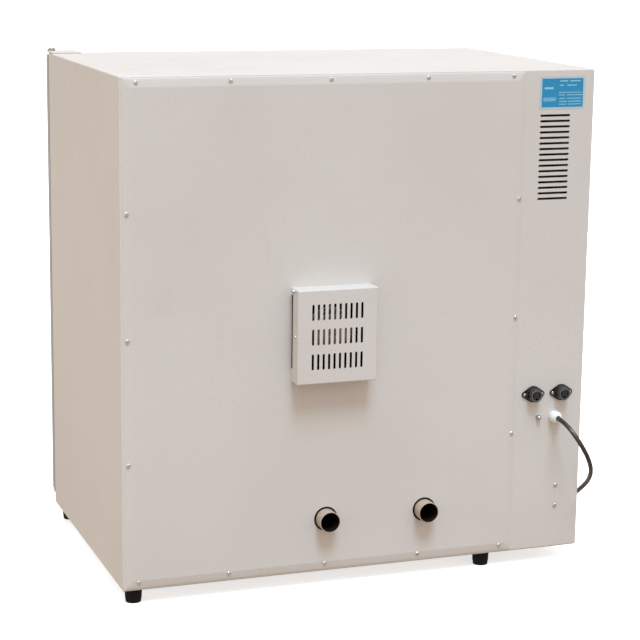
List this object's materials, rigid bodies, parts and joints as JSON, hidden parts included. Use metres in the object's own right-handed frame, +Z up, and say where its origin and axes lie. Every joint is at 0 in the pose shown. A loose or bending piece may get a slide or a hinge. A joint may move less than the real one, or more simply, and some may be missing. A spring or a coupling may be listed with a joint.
{
  "type": "laboratory incubator",
  "caption": "Benchtop convection incubator: insulated door over a glass inner door, wire shelves, fan at the rear, side control column and vent tubes.",
  "frame": {"origin": "on the floor, at the centre of the footprint without the power cord", "axes": "+Z up; the doors face -Y and the rear panel faces +Y; the control compartment is on the -X side and the door hinges on the +X side"},
  "size_m": [1.0361, 0.7055, 0.9435],
  "materials": {
    "cabinet_paint": "satin textured powder coat",
    "door_paint": "satin powder coat",
    "stainless": "brushed",
    "zinc_steel": "zinc plated",
    "insulation": "matt fibreglass",
    "silicone": "matt",
    "black_rubber": "matt",
    "glass": "clear",
    "chrome": "polished",
    "black_plastic": "moulded",
    "nylon_white": "moulded",
    "grey_plastic": "moulded",
    "red_lens": "clear tinted",
    "display": "dark tinted",
    "label_blue": "printed film",
    "heater_sheath": "heat-toned",
    "brass": "plain",
    "aluminium": "cast",
    "cord_pvc": "satin"
  },
  "bodies": {
    "cabinet": {"outer_shell": "cabinet_paint", "base_pan": "zinc_steel", "front_frame": "cabinet_paint", "rear_panel": "cabinet_paint", "compartment_divider": "zinc_steel", "chamber_liner": "stainless", "insulation_batts": "insulation", "glass_door_gasket": "silicone", "glass_hinge_brackets": "stainless", "shelf_standards": "stainless", "shelf_runners": "stainless", "air_baffle": "stainless", "heater_element": "heater_sheath", "temperature_probe": "stainless", "motor_housing": "aluminium", "motor_bushings": "brass", "motor_bracket": "zinc_steel", "motor_cover": "cabinet_paint", "vent_tubes": "stainless", "vent_grommets": "black_rubber", "receptacles": "black_plastic", "cord_gland": "nylon_white", "gland_nut": "nylon_white", "ground_stud": "zinc_steel", "rating_label": "label_blue", "pan_head_screws": "zinc_steel", "small_screws": "zinc_steel", "rubber_feet": "black_rubber", "foot_bolts": "zinc_steel", "hinge_bracket_top": "chrome", "hinge_bracket_bottom": "chrome", "control_fascia": "door_paint", "display_window": "display", "controller_module": "grey_plastic", "indicator_lamps": "red_lens", "overtemp_thermostat": "grey_plastic", "switch_housing": "black_plastic", "power_cord": "cord_pvc", "cord_coil": "cord_pvc", "cord_tie": "black_plastic", "plug": "cord_pvc"},
    "outer_door": {"door_skin": "door_paint", "door_inner_pan": "stainless", "door_insulation": "insulation", "door_gasket": "silicone", "door_handle": "chrome", "door_bushings": "nylon_white"},
    "glass_door": {"glass_pane": "glass", "glass_hinge_straps": "stainless", "glass_knob": "black_plastic"},
    "fan_rotor": {"motor_shaft": "stainless", "fan_wheel": "aluminium"},
    "shelf_1": {"shelf_1": "stainless"},
    "shelf_2": {"shelf_2": "stainless"},
    "shelf_3": {"shelf_3": "stainless"},
    "power_rocker": {"power_rocker": "black_plastic"},
    "overtemp_knob": {"overtemp_knob": "black_plastic"},
    "button_set": {"button_set": "grey_plastic"},
    "button_down": {"button_down": "grey_plastic"},
    "button_up": {"button_up": "grey_plastic"}
  },
  "joints": [
    {"name": "outer_door_hinge", "type": "hinge", "parent": "cabinet", "child": "outer_door", "pos_m": [0.4365, -0.28, 0.49], "axis": [0, 0, 1], "range_deg": [0, 110]},
    {"name": "glass_door_hinge", "type": "hinge", "parent": "cabinet", "child": "glass_door", "pos_m": [0.371, -0.2442, 0.483], "axis": [0, 0, 1], "range_deg": [0, 93.5]},
    {"name": "fan_spin", "type": "hinge", "parent": "cabinet", "child": "fan_rotor", "pos_m": [0.067, 0.258, 0.478], "axis": [0, 1, 0], "continuous": true},
    {"name": "shelf_1_slide", "type": "slide", "parent": "cabinet", "child": "shelf_1", "axis": [0, -1, 0], "range_m": [0, 0.02]},
    {"name": "shelf_2_slide", "type": "slide", "parent": "cabinet", "child": "shelf_2", "axis": [0, -1, 0], "range_m": [0, 0.02]},
    {"name": "shelf_3_slide", "type": "slide", "parent": "cabinet", "child": "shelf_3", "axis": [0, -1, 0], "range_m": [0, 0.02]},
    {"name": "power_rocker_tilt", "type": "hinge", "parent": "cabinet", "child": "power_rocker", "pos_m": [-0.375, -0.262, 0.56], "axis": [1, 0, 0], "range_deg": [0, 18]},
    {"name": "overtemp_dial", "type": "hinge", "parent": "cabinet", "child": "overtemp_knob", "pos_m": [-0.375, -0.267, 0.64], "axis": [0, 1, 0], "range_deg": [-135, 135]},
    {"name": "button_set_press", "type": "slide", "parent": "cabinet", "child": "button_set", "axis": [0, 1, 0], "range_m": [0, 0.0015], "stiffness_N_per_m": 300, "springref_m": -0.0005},
    {"name": "button_down_press", "type": "slide", "parent": "cabinet", "child": "button_down", "axis": [0, 1, 0], "range_m": [0, 0.0015], "stiffness_N_per_m": 300, "springref_m": -0.0005},
    {"name": "button_up_press", "type": "slide", "parent": "cabinet", "child": "button_up", "axis": [0, 1, 0], "range_m": [0, 0.0015], "stiffness_N_per_m": 300, "springref_m": -0.0005}
  ],
  "couplings": [
    {"joint": "glass_door_hinge", "follows": "outer_door_hinge", "ratio": 0.85}
  ]
}
